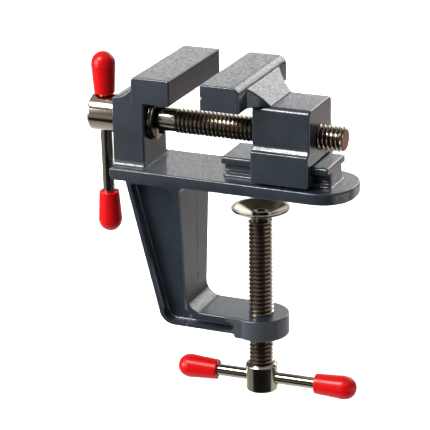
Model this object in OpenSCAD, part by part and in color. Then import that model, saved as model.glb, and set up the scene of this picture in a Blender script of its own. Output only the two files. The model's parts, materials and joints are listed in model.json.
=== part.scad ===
// Clamp-on table vise. Millimetres, +Z up, +X from the fixed jaw towards the moving jaw.
// Origin: where the clamp screw's axis meets the underside of the base plate.

/* [Jaws] */
// width of both jaw bars
jaw_w = 35; // [30:0.5:42]
// height of both jaw bars
jaw_h = 7.2; // [6:0.1:9]
// thickness of both jaw bars along the screw
jaw_t = 11.4; // [10:0.1:13]
// opening between the jaw faces as drawn
jaw_gap = 8.9; // [2:0.1:16]
// height of the jaw bars' undersides above the base plate
jaw_seat_h = 22.1; // [21:0.1:24]
// rounding of the jaw bars' outer edges
jaw_edge_r = 1; // [0.5:0.1:1.5]
// rounding of the moving bar's top rear edge
jaw_back_r = 2.2; // [1:0.1:3]
// depth of the groove along the moving jaw face
groove_depth = 0.35; // [0.2:0.05:0.6]
// height at which both sloped webs start below the bars' tops
web_drop = 1.6; // [1:0.1:3]

/* [Base plate] */
// thickness of the base plate
plate_t = 3.4; // [2.8:0.1:4.5]
// width of the base plate
plate_w = 21.4; // [20.8:0.1:24]
// length of the base plate
plate_len = 69.6; // [67:0.2:75]
// corner radius at the plate's free end
plate_end_r = 9.3; // [6:0.1:10]
// rounding of the plate's lower rear edge
plate_edge_r = 1.8; // [1:0.1:2.5]

/* [Post] */
// thickness of the post along the screw
post_t = 9.6; // [8.5:0.1:11]
// width of the post
post_w = 15; // [14.5:0.1:17]
// height of the post's shoulder above the base plate
post_h = 20; // [19.8:0.1:21.5]
// distance from the post's inner face to the fixed bar's rear face
post_setback = 1.2; // [0.8:0.1:2]
// fillet between the shoulder and the sloped web
shoulder_fillet_r = 5.5; // [3:0.1:6]
// fillet between the post and the fixed bar's underside
neck_fillet_r = 2; // [1:0.1:3]
// fillet between the post and the base plate
foot_fillet_r = 0.8; // [0.4:0.1:1.2]

/* [Rail] */
// start of the rail, from the fixed jaw face
rail_start = 10.3; // [8:0.1:11]
// length of the rail
rail_len = 31.3; // [29:0.1:33]
// height of the rail above the base plate
rail_h = 6.1; // [5.6:0.1:6.8]
// width of the rail's head
rail_head_w = 14; // [12.5:0.1:15]
// thickness of the rail's head
rail_head_t = 2.2; // [1.8:0.1:2.6]
// rounding of the rail head's edges
rail_edge_r = 0.7; // [0.3:0.1:0.9]
// width of the rail's neck
rail_neck_w = 9; // [8:0.1:9.6]
// width of the rail's foot
rail_foot_w = 10; // [9.7:0.1:10.8]
// height of the rail's foot
rail_foot_h = 1.4; // [1:0.1:1.8]

/* [Moving jaw body] */
// length of the body along the screw
body_len = 16.6; // [14:0.1:19]
// width of the body above the ledge
body_w = 17.2; // [16:0.1:19]
// width of the skirt below the ledge
skirt_w = 20.2; // [19.4:0.1:21]
// gap between the skirt and the base plate
skirt_gap = 0.6; // [0.4:0.1:1]
// height of the ledge's lower edge above the base plate
ledge_low_h = 9.3; // [8.5:0.1:10]
// height of the ledge's upper edge above the base plate
ledge_high_h = 11.7; // [11:0.1:13]
// rounding of the body's upper side edges
body_edge_r = 1.6; // [0.8:0.1:2.2]
// length of the sloped web behind the moving bar
gusset_len = 5.3; // [4:0.1:7]
// width of the sloped web at the bar
gusset_w = 23.4; // [20:0.1:26]
// width of the sloped web at its end
gusset_end_w = 15.4; // [13:0.1:16]
// gap between the rail's head and the body around it
slide_gap = 0.15; // [0.1:0.05:0.25]

/* [Screws] */
// thread diameter of both screws
screw_d = 7.1; // [6.4:0.1:7.6]
// height of the main screw's axis above the base plate
screw_h = 12.7; // [12.5:0.1:13.5]
// reach of the main screw past the fixed jaw face
screw_reach = 44.1; // [42:0.1:48]
// plain length of the main screw behind the fixed jaw face
shank_end = 6.3; // [4:0.1:8]
// diameter of the main screw's plain shank
shank_d = 6.6; // [6.2:0.1:7]
// radial clearance of every turning or sliding round fit
run_fit = 0.05; // [0.03:0.01:0.08]
// play left between faces that turn or slide on each other
face_play = 0.1; // [0.05:0.05:0.2]
// chamfer at the ends of screws and heads
chamfer = 0.6; // [0.3:0.1:0.8]

/* [Main screw head and retainer] */
// diameter of the main screw's head
head_d = 10.8; // [10:0.1:12]
// length of the main screw's head
head_len = 9.1; // [8.5:0.1:10]
// distance from the head's free end to the handle bar
head_bar_in = 3.5; // [3.2:0.1:4]
// depth of each screw in its head
head_socket = 2.4; // [2:0.1:2.4]
// diameter of the retaining washer
washer_d = 12.4; // [11.5:0.1:13]
// thickness of the retaining washer
washer_t = 0.8; // [0.6:0.1:1.2]
// diameter of the retaining clip
clip_d = 11.8; // [11:0.1:12.4]
// thickness of the retaining clip
clip_t = 0.8; // [0.6:0.1:1]
// diameter of the groove for the retaining clip
clip_groove_d = 5.6; // [5:0.1:6]
// width of the clip's open side
clip_mouth_w = 4.6; // [4:0.1:4.9]
// diameter of the ring of hollows inside the clip
clip_hollow_d = 8.4; // [7.8:0.1:9]

/* [Clamp frame] */
// distance from the clamp screw's axis to the frame's inner face
throat_depth = 20; // [18:0.1:24]
// distance from the clamp screw's axis to the fixed jaw face
axis_to_jaw = 19.2; // [18:0.1:20]
// height of the clamp opening under the base plate
throat_h = 38; // [32:0.1:46]
// depth of the frame's spine at the base plate
spine_top_d = 16.5; // [14:0.1:18]
// depth of the frame's spine at the arm's underside
spine_foot_d = 7.9; // [7:0.1:10]
// width of the arm
arm_w = 14.7; // [13:0.1:16]
// thickness of the arm
arm_t = 5; // [4.6:0.1:6]
// depth of the pockets in the frame's sides
pocket_depth = 3.2; // [2:0.1:4.4]
// thickness of the outer flange
flange_out_t = 1.5; // [1.2:0.1:2]
// thickness of the inner flange
flange_in_t = 1.9; // [1.5:0.1:2.4]
// thickness of the arm's upper flange
arm_top_t = 1.4; // [1:0.1:1.6]
// thickness of the arm's lower flange
arm_low_t = 1.1; // [0.9:0.1:1.4]
// rounding of the frame's outer corner
frame_out_r = 4.5; // [3.5:0.1:6]
// fillet of the frame's inner corner
frame_in_r = 4.5; // [3:0.1:6]
// fillet between the inner face and the base plate
throat_top_r = 1.6; // [1:0.1:2]
// rounding of the pocket's corner below the base plate
pocket_top_r = 3.6; // [2:0.1:4]
// rounding of the pocket's end in the arm
pocket_end_r = 0.9; // [0.5:0.1:1]
// solid length of the arm before the clamp screw's axis
boss_reach = 5.6; // [5:0.1:6.5]
// diameter of the boss round the clamp screw
boss_d = 16; // [14.9:0.1:18]
// height of the boss
boss_h = 6.1; // [6.1:0.1:8]
// rounding of the boss's lower rear edge
boss_edge_r = 1; // [0.5:0.1:1]

/* [Clamp screw] */
// gap between the cup's rim and the base plate as drawn
cup_gap = 6.4; // [1:0.1:20]
// diameter of the swivel cup
cup_d = 16.5; // [14:0.1:19]
// height of the swivel cup
cup_h = 2.7; // [2.4:0.1:3.4]
// sheet thickness of the swivel cup
cup_t = 0.8; // [0.6:0.1:1]
// diameter of the cup's flat bottom
cup_base_d = 6; // [5.6:0.1:7]
// width of the cup's flat rim
rim_w = 0.9; // [0.7:0.1:1.2]
// diameter of the spigot through the cup
spigot_d = 3; // [2.6:0.1:3.4]
// diameter of the spread head over the cup's bottom
spread_d = 4.5; // [4:0.1:5]
// height of the spread head
spread_h = 0.7; // [0.5:0.1:1]
// diameter of the collar under the cup
collar_d = 3.9; // [3.7:0.1:4.6]
// length of the collar under the cup
collar_len = 1.6; // [1:0.1:2.2]
// distance from the cup's rim to the clamp screw's head
clamp_reach = 46.9; // [42:0.1:54]
// diameter of the clamp screw's head
clamp_head_d = 9.2; // [8.6:0.1:10]
// length of the clamp screw's head
clamp_head_len = 8.4; // [8:0.1:9.5]
// distance from the head's lower end to the handle bar
clamp_bar_in = 3.8; // [3.3:0.1:4]

/* [Handle bars] */
// diameter of both handle bars
bar_d = 3.4; // [3:0.1:3.6]
// free length of each bar between its caps
bar_free = 29.2; // [26:0.1:34]
// length of a cap
cap_len = 12.3; // [11:0.1:14]
// largest diameter of a cap
cap_d = 6.9; // [6.4:0.1:7.6]
// diameter of a cap at its mouth
cap_mouth_d = 5.8; // [5.4:0.1:6.2]
// thickness of a cap over the bar's end
cap_end_t = 1.6; // [1.2:0.1:2.4]
// lean of the main handle bar from upright
main_lean = 1.5; // [0:0.5:45]
// turn of the clamp handle bar from the screw's direction
clamp_turn = 2.3; // [0:0.1:90]
// shift of the clamp handle bar from its middle
clamp_shift = 1.4; // [0:0.1:6]

/* [Hidden] */
$fn = 64;
over = screw_d / 2;
enamel = [0.25, 0.29, 0.34];
steel = [0.72, 0.70, 0.66];
dark_steel = [0.20, 0.20, 0.20];
red_cap = [0.82, 0.08, 0.08];

jaw_low_z = plate_t + jaw_seat_h;
jaw_top_z = jaw_low_z + jaw_h;
web_top_z = jaw_top_z - web_drop;
screw_z = plate_t + screw_h;
bore_d = screw_d + 2 * run_fit;
post_in_x = -jaw_t - post_setback;
post_out_x = post_in_x - post_t;
shoulder_z = plate_t + post_h;
fillet_reach = shoulder_fillet_r * tan(22.5);
web_foot_x = -jaw_t - (web_top_z - shoulder_z);
rail_top_z = plate_t + rail_h;
rail_head_z = rail_top_z - rail_head_t;
inner_x = axis_to_jaw - throat_depth;
arm_top_z = -throat_h;
arm_low_z = arm_top_z - arm_t;
spine_run = spine_top_d - spine_foot_d;
spine_side = sqrt(arm_low_z * arm_low_z + spine_run * spine_run);
lean_share = spine_side / -arm_low_z;
body_x = jaw_gap + jaw_t;
washer_x = post_in_x + face_play;
clip_x = washer_x + washer_t + face_play / 2;
groove_x = clip_x - face_play / 2;
groove_end_x = clip_x + clip_t + face_play / 2;
head_x = post_out_x - face_play;
bar_x = head_x - head_len + head_bar_in;
bar_len = bar_free + 2 * (cap_len - cap_end_t);
bar_hole_d = bar_d + 2 * run_fit;
cup_rim_z = -cup_gap;
cup_low_z = cup_rim_z - cup_h;
clamp_head_z = cup_rim_z - clamp_reach;
clamp_bar_z = clamp_head_z - clamp_head_len + clamp_bar_in;
main_rest = head_d / 2 + face_play + bar_free / 2;

// outline in X and Z drawn across a width in Y
module across(w) {
  rotate([90, 0, 0]) linear_extrude(height = w, center = true) children();
}

// outline in Y and Z drawn along X
module along(x, l) {
  translate([x, 0, 0]) rotate([90, 0, 90]) linear_extrude(height = l) children();
}

// square corner less a quarter circle, for rounding a corner or filling a fillet
module corner(x, y, sx, sy, r) {
  difference() {
    translate([x + sx * r / 2, y + sy * r / 2]) square(r, center = true);
    translate([x + sx * r, y + sy * r]) circle(r);
  }
}

// rectangle from its lower left corner
module box_side(w, h, x, y) {
  translate([x, y]) square([w, h]);
}

// base plate
module plate() {
  far_x = post_out_x + plate_len;
  intersection() {
    linear_extrude(height = plate_t) {
      translate([post_out_x, -plate_w / 2]) square([plate_len - plate_end_r, plate_w]);
      translate([post_out_x, plate_end_r - plate_w / 2])
        square([plate_len, plate_w - 2 * plate_end_r]);
      for (s = [-1, 1])
        translate([far_x - plate_end_r, s * (plate_w / 2 - plate_end_r)]) circle(plate_end_r);
    }
    across(plate_w) difference() {
      box_side(plate_len, plate_t, post_out_x, 0);
      corner(post_out_x, 0, 1, 1, plate_edge_r);
    }
  }
}

// post with its shoulder and the sloped web up to the fixed bar
module post() {
  across(post_w) difference() {
    union() {
      polygon([
        [post_out_x, plate_edge_r],
        [post_in_x, plate_edge_r],
        [post_in_x, jaw_low_z],
        [-jaw_t / 2, jaw_low_z],
        [-jaw_t, web_top_z],
        [web_foot_x + fillet_reach * cos(45), shoulder_z + fillet_reach * sin(45)],
        [web_foot_x - fillet_reach, shoulder_z],
        [post_out_x, shoulder_z]
      ]);
      corner(post_in_x, jaw_low_z, 1, -1, neck_fillet_r);
      corner(post_in_x, plate_t, 1, 1, foot_fillet_r);
    }
    translate([web_foot_x - fillet_reach, shoulder_z + shoulder_fillet_r])
      circle(shoulder_fillet_r);
    corner(post_out_x, shoulder_z, 1, -1, jaw_edge_r);
  }
}

module fixed_bar() {
  across(jaw_w) difference() {
    box_side(jaw_t, jaw_h, -jaw_t, jaw_low_z);
    corner(-jaw_t, jaw_low_z, 1, 1, jaw_edge_r);
    corner(-jaw_t, jaw_top_z, 1, -1, jaw_edge_r);
  }
}

// rail with an undercut head on a wider foot
module rail() {
  along(rail_start, rail_len) {
    difference() {
      box_side(rail_head_w, rail_head_t, -rail_head_w / 2, rail_head_z);
      for (s = [-1, 1]) {
        corner(s * rail_head_w / 2, rail_top_z, -s, -1, rail_edge_r);
        corner(s * rail_head_w / 2, rail_head_z, -s, 1, rail_edge_r);
      }
    }
    box_side(rail_neck_w, rail_h - rail_head_t / 2, -rail_neck_w / 2, plate_t);
    box_side(rail_foot_w, rail_foot_h + plate_t / 2, -rail_foot_w / 2, plate_t / 2);
  }
}

// side of the frame's spine and arm, moved in from its outer edges
module spine_outline(side_in, low_in, r, end_x) {
  top_x = inner_x - spine_top_d + side_in * lean_share;
  low_z = arm_low_z + low_in;
  centre_z = low_z + r;
  centre_x = top_x - spine_run * centre_z / -arm_low_z + r * lean_share;
  polygon([
    [top_x, 0],
    [centre_x - r / lean_share, centre_z - r * spine_run / spine_side],
    [centre_x, centre_z],
    [centre_x, low_z],
    [end_x, low_z],
    [end_x, 0]
  ]);
  translate([centre_x, centre_z]) circle(r);
}

// open space right of a vertical face and above a level one, rounded between them
module throat_outline(x, z, r, end_x) {
  difference() {
    translate([x, z]) square([end_x - x, over - z]);
    corner(x, z, 1, 1, r);
  }
}

// pocket between the flanges
module pocket_outline() {
  end_x = axis_to_jaw - boss_reach;
  right_x = inner_x - flange_in_t;
  top_z = arm_top_z - arm_top_t;
  difference() {
    spine_outline(flange_out_t, arm_low_t, frame_out_r - flange_out_t, end_x);
    throat_outline(right_x, top_z, frame_in_r + arm_top_t, end_x + over);
    corner(right_x, 0, -1, -1, pocket_top_r);
    corner(end_x, top_z, -1, -1, pocket_end_r);
    corner(end_x, arm_low_z + arm_low_t, -1, 1, pocket_end_r);
  }
}

// spine and arm from end to end, as wide as the base plate above and narrowing down to the arm
module spine_body(side_in) {
  top_w = plate_w / 2 - side_in;
  low_w = arm_w / 2 - side_in;
  along(-throat_depth - spine_top_d, 2 * axis_to_jaw + throat_depth + spine_top_d) polygon([
    [-top_w, 0],
    [-low_w, arm_top_z],
    [-low_w, arm_low_z],
    [low_w, arm_low_z],
    [low_w, arm_top_z],
    [top_w, 0],
    [low_w, plate_t / 2],
    [-low_w, plate_t / 2]
  ]);
}

// spine and arm with a pocket in each side, let into the base plate
module spine() {
  difference() {
    intersection() {
      across(plate_w) union() {
        difference() {
          spine_outline(0, 0, frame_out_r, axis_to_jaw);
          throat_outline(inner_x, arm_top_z, frame_in_r, axis_to_jaw + over);
        }
        box_side(spine_top_d + throat_top_r, plate_t / 2, inner_x - spine_top_d, 0);
        corner(inner_x, 0, 1, -1, throat_top_r);
      }
      spine_body(0);
    }
    difference() {
      across(plate_w) pocket_outline();
      spine_body(pocket_depth);
    }
  }
}

// boss at the arm's end
module boss() {
  low_z = arm_top_z - boss_h;
  across(arm_w) difference() {
    box_side(boss_reach, boss_h, axis_to_jaw - boss_reach, low_z);
    corner(axis_to_jaw - boss_reach, low_z, 1, 1, boss_edge_r);
  }
  translate([axis_to_jaw, 0, low_z]) cylinder(d = boss_d, h = boss_h);
}

module frame_casting() {
  color(enamel) translate([-axis_to_jaw, 0, 0]) difference() {
    union() {
      plate();
      post();
      fixed_bar();
      rail();
      spine();
      boss();
    }
    translate([post_out_x - over, 0, screw_z]) rotate([0, 90, 0])
      cylinder(d = bore_d, h = post_t + 2 * over);
    translate([axis_to_jaw, 0, arm_top_z - boss_h - over])
      cylinder(d = bore_d, h = boss_h + 2 * over);
  }
}

// sloped web behind the moving bar, narrowing over the body
module gusset() {
  intersection() {
    across(gusset_w) polygon([
      [body_x - jaw_t / 2, jaw_low_z],
      [body_x + gusset_len, jaw_low_z],
      [body_x, web_top_z],
      [body_x - jaw_t / 2, web_top_z]
    ]);
    linear_extrude(height = jaw_top_z) polygon([
      [body_x - jaw_t / 2, -gusset_w / 2],
      [body_x, -gusset_w / 2],
      [body_x + gusset_len, -gusset_end_w / 2],
      [body_x + gusset_len, gusset_end_w / 2],
      [body_x, gusset_w / 2],
      [body_x - jaw_t / 2, gusset_w / 2]
    ]);
  }
}

module moving_bar() {
  mid_z = jaw_low_z + jaw_h / 2;
  across(jaw_w) difference() {
    box_side(jaw_t, jaw_h, jaw_gap, jaw_low_z);
    corner(body_x, jaw_top_z, -1, -1, jaw_back_r);
    corner(body_x, jaw_low_z, -1, 1, jaw_edge_r);
    polygon([
      [jaw_gap, mid_z - groove_depth],
      [jaw_gap + groove_depth, mid_z],
      [jaw_gap, mid_z + groove_depth]
    ]);
  }
}

// body over the rail, with lips under the rail's head
module body() {
  slot_w = rail_head_w + 2 * slide_gap;
  lip_w = rail_foot_w + 4 * slide_gap;
  skirt_z = plate_t + skirt_gap;
  along(body_x, body_len) difference() {
    polygon([
      [-skirt_w / 2, skirt_z],
      [skirt_w / 2, skirt_z],
      [skirt_w / 2, plate_t + ledge_low_h],
      [body_w / 2, plate_t + ledge_high_h],
      [body_w / 2, jaw_low_z],
      [-body_w / 2, jaw_low_z],
      [-body_w / 2, plate_t + ledge_high_h],
      [-skirt_w / 2, plate_t + ledge_low_h]
    ]);
    box_side(slot_w, rail_head_t + 2 * slide_gap, -slot_w / 2, rail_head_z - slide_gap);
    box_side(lip_w, rail_h, -lip_w / 2, plate_t);
    for (s = [-1, 1])
      corner(s * body_w / 2, jaw_low_z, -s, -1, body_edge_r);
  }
}

module moving_jaw() {
  color(enamel) translate([-axis_to_jaw, 0, 0]) difference() {
    union() {
      moving_bar();
      gusset();
      body();
    }
    translate([body_x - over, 0, screw_z]) rotate([0, 90, 0])
      cylinder(d = bore_d, h = body_len + 2 * over);
  }
}

// turned shape about the main screw's axis, its outline in distance along the axis and radius
module turned_main() {
  translate([-axis_to_jaw, 0, screw_z]) rotate([0, 90, 0]) rotate_extrude()
    mirror([1, -1]) children();
}

module main_screw() {
  color(steel) turned_main() polygon([
    [head_x - head_socket, 0],
    [head_x - head_socket, screw_d / 2],
    [groove_x, screw_d / 2],
    [groove_x, clip_groove_d / 2],
    [groove_end_x, clip_groove_d / 2],
    [groove_end_x, shank_d / 2],
    [-shank_end, shank_d / 2],
    [-shank_end, screw_d / 2],
    [screw_reach - chamfer, screw_d / 2],
    [screw_reach, screw_d / 2 - chamfer],
    [screw_reach, 0]
  ]);
}

module main_screw_head() {
  end_x = head_x - head_len;
  color(steel) difference() {
    turned_main() polygon([
      [end_x, 0],
      [end_x, head_d / 2 - chamfer],
      [end_x + chamfer, head_d / 2],
      [head_x, head_d / 2],
      [head_x, screw_d / 2],
      [head_x - head_socket, screw_d / 2],
      [head_x - head_socket, 0]
    ]);
    main_handle(0) cylinder(d = bar_hole_d, h = head_d + over, center = true);
  }
}

module retaining_washer() {
  color(steel) turned_main() translate([washer_x, bore_d / 2])
    square([washer_t, (washer_d - bore_d) / 2]);
}

// open clip in the screw's groove, gripping it on three lands
module retaining_clip() {
  land_d = clip_groove_d + 2 * run_fit;
  color(dark_steel) translate([clip_x - axis_to_jaw, 0, screw_z]) rotate([90, 0, 90])
    linear_extrude(height = clip_t) difference() {
      circle(d = clip_d);
      circle(d = land_d);
      translate([-clip_mouth_w / 2, -clip_d]) square([clip_mouth_w, clip_d]);
      difference() {
        circle(d = clip_hollow_d);
        translate([-clip_d, -clip_d / 2]) square([2 * clip_d, (clip_d - land_d / 2) / 2]);
        translate([-land_d / 4, 0]) square([land_d / 2, clip_d]);
      }
    }
}

// place on the main handle bar, counted from the head's axis along the bar
module main_handle(t) {
  translate([bar_x - axis_to_jaw, 0, screw_z]) rotate([main_lean, 0, 0])
    translate([0, 0, t]) children();
}

// place on the clamp handle bar, counted from the clamp screw's axis along the bar
module clamp_handle(t) {
  translate([0, 0, clamp_bar_z]) rotate([0, 90, clamp_turn]) translate([0, 0, t]) children();
}

module bar() {
  cylinder(d = bar_d, h = bar_len, center = true);
}

// cap with its mouth at zero, the tip along Z
module cap() {
  seam = cap_len - cap_d / 2;
  depth = cap_len - cap_end_t;
  rotate_extrude() difference() {
    union() {
      polygon([
        [0, 0],
        [cap_mouth_d / 2, 0],
        [cap_d / 2, seam],
        [0, seam]
      ]);
      intersection() {
        translate([0, seam]) circle(cap_d / 2);
        translate([0, seam]) square(cap_d);
      }
    }
    square([bar_d / 2, depth]);
  }
}

module main_handle_bar() {
  color(steel) main_handle(main_rest - bar_free) bar();
}

module main_handle_cap_upper() {
  color(red_cap) main_handle(main_rest - bar_free / 2) cap();
}

module main_handle_cap_lower() {
  color(red_cap) main_handle(main_rest - 3 * bar_free / 2) mirror([0, 0, 1]) cap();
}

module clamp_screw() {
  base_z = cup_low_z + cup_t;
  collar_z = cup_low_z - face_play / 2;
  thread_z = collar_z - collar_len;
  color(steel) rotate_extrude() polygon([
    [0, base_z + face_play / 2 + spread_h],
    [spigot_d / 2, base_z + face_play / 2 + spread_h],
    [spread_d / 2, base_z + (face_play + spread_h) / 2],
    [spread_d / 2, base_z + face_play / 2],
    [spigot_d / 2, base_z + face_play / 2],
    [spigot_d / 2, collar_z],
    [collar_d / 2, collar_z],
    [collar_d / 2, thread_z],
    [screw_d / 2 - chamfer, thread_z],
    [screw_d / 2, thread_z - chamfer],
    [screw_d / 2, clamp_head_z - head_socket],
    [0, clamp_head_z - head_socket]
  ]);
}

module clamp_screw_head() {
  end_z = clamp_head_z - clamp_head_len;
  r = clamp_head_d / 2;
  color(steel) difference() {
    rotate_extrude() polygon([
      [0, end_z],
      [r - chamfer, end_z],
      [r, end_z + chamfer],
      [r, clamp_head_z - chamfer],
      [r - chamfer, clamp_head_z],
      [screw_d / 2, clamp_head_z],
      [screw_d / 2, clamp_head_z - head_socket],
      [0, clamp_head_z - head_socket]
    ]);
    clamp_handle(0) cylinder(d = bar_hole_d, h = clamp_head_d + over, center = true);
  }
}

// dished sheet cup with a flat rim and a hole for the spigot
module swivel_cup() {
  hole_r = spigot_d / 2 + run_fit;
  color(steel) rotate_extrude() polygon([
    [hole_r, cup_low_z],
    [cup_base_d / 2, cup_low_z],
    [cup_d / 2, cup_rim_z - cup_t / 2],
    [cup_d / 2, cup_rim_z],
    [cup_d / 2 - rim_w, cup_rim_z],
    [cup_base_d / 2 - cup_t / 4, cup_low_z + cup_t],
    [hole_r, cup_low_z + cup_t]
  ]);
}

module clamp_handle_bar() {
  color(steel) clamp_handle(clamp_shift) bar();
}

module clamp_handle_cap_left() {
  color(red_cap) clamp_handle(clamp_shift - bar_free / 2) mirror([0, 0, 1]) cap();
}

module clamp_handle_cap_right() {
  color(red_cap) clamp_handle(clamp_shift + bar_free / 2) cap();
}

frame_casting();
moving_jaw();
main_screw();
main_screw_head();
retaining_washer();
retaining_clip();
main_handle_bar();
main_handle_cap_upper();
main_handle_cap_lower();
clamp_screw();
clamp_screw_head();
swivel_cup();
clamp_handle_bar();
clamp_handle_cap_left();
clamp_handle_cap_right();
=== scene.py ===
"""Looks of a small clamp-on table vise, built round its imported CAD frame.

Shapes are drawn in millimetres in the part's own frame and turned to metres as each piece is finished.
X runs from the fixed jaw towards the moving jaw, Y across the jaws, Z up. The clamp screw's axis is the Z
axis, and the base plate's underside lies at zero height.
"""

import json
import math

import bmesh
import bpy
from mathutils import Matrix, Vector


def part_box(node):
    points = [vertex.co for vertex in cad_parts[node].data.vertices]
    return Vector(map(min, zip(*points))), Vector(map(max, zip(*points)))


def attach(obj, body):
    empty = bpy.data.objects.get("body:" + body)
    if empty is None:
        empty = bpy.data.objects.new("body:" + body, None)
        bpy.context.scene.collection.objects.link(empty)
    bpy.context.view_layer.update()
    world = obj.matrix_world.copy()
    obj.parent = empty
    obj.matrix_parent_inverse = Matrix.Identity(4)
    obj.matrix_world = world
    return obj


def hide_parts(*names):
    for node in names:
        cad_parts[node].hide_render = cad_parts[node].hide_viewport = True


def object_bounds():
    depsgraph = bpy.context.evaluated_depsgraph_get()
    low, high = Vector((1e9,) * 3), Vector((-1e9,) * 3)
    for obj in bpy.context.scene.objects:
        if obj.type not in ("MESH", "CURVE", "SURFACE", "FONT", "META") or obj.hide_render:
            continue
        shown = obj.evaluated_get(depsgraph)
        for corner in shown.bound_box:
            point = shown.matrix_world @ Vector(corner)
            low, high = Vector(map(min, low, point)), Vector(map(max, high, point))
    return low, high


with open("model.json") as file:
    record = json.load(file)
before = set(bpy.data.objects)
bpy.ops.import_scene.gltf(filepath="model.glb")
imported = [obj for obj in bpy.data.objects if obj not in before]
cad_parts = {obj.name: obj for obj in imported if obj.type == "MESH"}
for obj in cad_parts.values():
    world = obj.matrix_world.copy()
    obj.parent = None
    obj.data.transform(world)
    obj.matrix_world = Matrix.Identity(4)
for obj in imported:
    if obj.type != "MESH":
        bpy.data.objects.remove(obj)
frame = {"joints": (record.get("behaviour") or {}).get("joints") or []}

cad_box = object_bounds()
MM = 0.001


def cad(node):
    """Lowest and highest corner of a CAD node, in millimetres."""
    low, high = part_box(node)
    return Vector(low) / MM, Vector(high) / MM


JOINTS = {joint["name"]: joint for joint in frame["joints"]}

# Sizes read from the frame.
frame_low, frame_high = cad("frame_casting")
jaw_low, jaw_high = cad("moving_jaw")
screw_low, screw_high = cad("main_screw")
head_low, head_high = cad("main_screw_head")
clip_low, clip_high = cad("retaining_clip")
washer_low, washer_high = cad("retaining_washer")
cup_low, cup_high = cad("swivel_cup")
clamp_low, clamp_high = cad("clamp_screw")
clamp_head_low, clamp_head_high = cad("clamp_screw_head")
screw_axis_z = (screw_low.z + screw_high.z) / 2

# Fixed jaw, post and base plate: sizes in millimetres.
bar_h = 7.2
bar_t = 11.4
bar_edge_r = 1.0
bar_back_r = 2.2
jaw_gap = 8.9
plate_t = 3.4
plate_w = 21.4
plate_end_r = 9.3
plate_edge_r = 1.8
post_t = 9.6
post_w = 15.0
post_h = 20.0
post_flare_r = 1.8
post_foot_in = 0.05
web_drop = 1.6
shoulder_r = 5.5
neck_r = 2.0
bar_top_z = frame_high.z
bar_low_z = bar_top_z - bar_h
web_top_z = bar_top_z - web_drop
post_out_x = frame_low.x
post_in_x = post_out_x + post_t
jaw_face_x = jaw_low.x - jaw_gap
moving_back_x = jaw_low.x + bar_t

# Rail under the moving jaw.
rail_x = -8.9
rail_len = 31.3
rail_top_z = 9.5
rail_head_w = 14.0
rail_head_t = 2.2
rail_neck_w = 9.0
rail_foot_w = 10.0
rail_foot_h = 1.4
rail_edge_r = 0.7
rail_cast_r = 0.6

# Moving jaw.
body_w = 17.2
body_top_r = 1.6
skirt_w = 20.2
skirt_low_r = 0.6
ledge_low_z = 12.9
ledge_mid_z = 13.35
ledge_mid_in = 0.7
ledge_high_z = 14.4
ledge_corner_r = 0.5
ledge_fillet = 1.0
gusset_len = 5.3
gusset_w = 23.4
gusset_end_w = 15.4
gusset_curve = 1.8
gusset_cast_r = 0.35
slide_gap = 0.15
groove = 0.35
jaw_fillet = 0.5

# C-shaped spine with its pockets, arm and boss.
throat_x = -20.0
throat_z = -38.0
spine_top_d = 16.5
spine_foot_d = 7.9
arm_w = 14.7
arm_t = 5.0
frame_r = 4.5
throat_top_r = 1.6
frame_fillet = 0.7
pocket_depth = 3.2
pocket_fillet = 0.6
pocket_out_r = 1.0
pocket_top_r = 3.6
pocket_top_z = -0.3
pocket_end_r = 0.9
flange_out_t = 1.5
flange_in_t = 1.9
flange_cast_r = 0.35
arm_top_t = 1.4
arm_low_t = 1.1
boss_reach = 5.6
boss_root_r = 0.7
boss_low_r = 0.35
boss_d = 16.0
boss_h = 6.1

# Bores and edges of both castings. Angles are in degrees.
bore_d = 7.2
cast_r = 0.45
cast_steps = 3
cast_least_turn = 26

# Screws and their heads.
pitch = 1.25
crest_d = 7.1
root_d = 5.7
shank_d = 6.6
shank_end_x = -24.7
thread_steps = 40
main_end_chamfer = 0.6
main_start_chamfer = 0.5
screw_end_r = 0.2
thread_lap = 0.2
head_out_r = 0.8
head_in_r = 0.5
main_hole_in = 3.5
clamp_hole_up = 3.8
clamp_head_low_r = 0.6
clamp_head_chamfer = 0.7
clamp_head_edge_r = 0.2
clamp_end_chamfer = 0.15
clamp_neck_len = 1.0
clamp_neck_r = 1.95
spigot_r = 1.5
spread_r = 2.25
spread_low_r = 0.15
spread_edge_r = 0.25
spread_h = 0.1
dish_r = 0.9
dish_h = 0.35
dish_edge_r = 0.2

# Washer, clip and swivel cup.
washer_edge_r = 0.25
clip_land_r = 2.85
clip_hollow_r = 4.2
clip_mouth_w = 4.6
clip_groove_r = 2.8
clip_play = 0.03
cup_t = 0.8
cup_play = 0.05
cup_hole_r = 1.55
cup_flat_r = 3.0
cup_flat_in_r = 2.75
cup_flat_bend = 0.8
cup_flat_in_bend = 1.2
cup_lip_w = 1.1
cup_lip_h = 0.75
cup_lip_bend = 1.0
cup_rim_w = 1.0
cup_rim_h = 0.45
cup_rim_low_r = 0.2
cup_rim_top_r = 0.15
cup_rim_bend = 0.5

# Handle bars and their caps.
bar_d = 3.4
bar_free = 29.2
bar_end_r = 0.3
bar_play = 0.1
hole_edge_r = 0.12
cap_len = 12.3
cap_d = 6.9
cap_mouth_d = 5.8
cap_end_t = 1.6
cap_fit = 0.01
cap_rest_gap = 0.1
cap_step = 0.07
cap_mouth_in_r = 0.12
cap_mouth_r = 0.3
dome_share = 0.999
mouth_fade = 1.2
mouth_wave = 0.12
clamp_handle_shift = 1.4

# Small allowances: broken edges, overlaps of joined shapes, overruns of cuts, tolerances, and in degrees
# the turns below which an edge is taken away or shaded smooth.
edge_r = 0.1
lap = 0.02
overrun = 1.0
cut_reach = 9.0
near = 0.02
weld = 1e-4
thread_weld = 4e-3
plane_near = 1e-5
zero = 1e-6
flat_turn = 0.3
smooth_turn = 35

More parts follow.
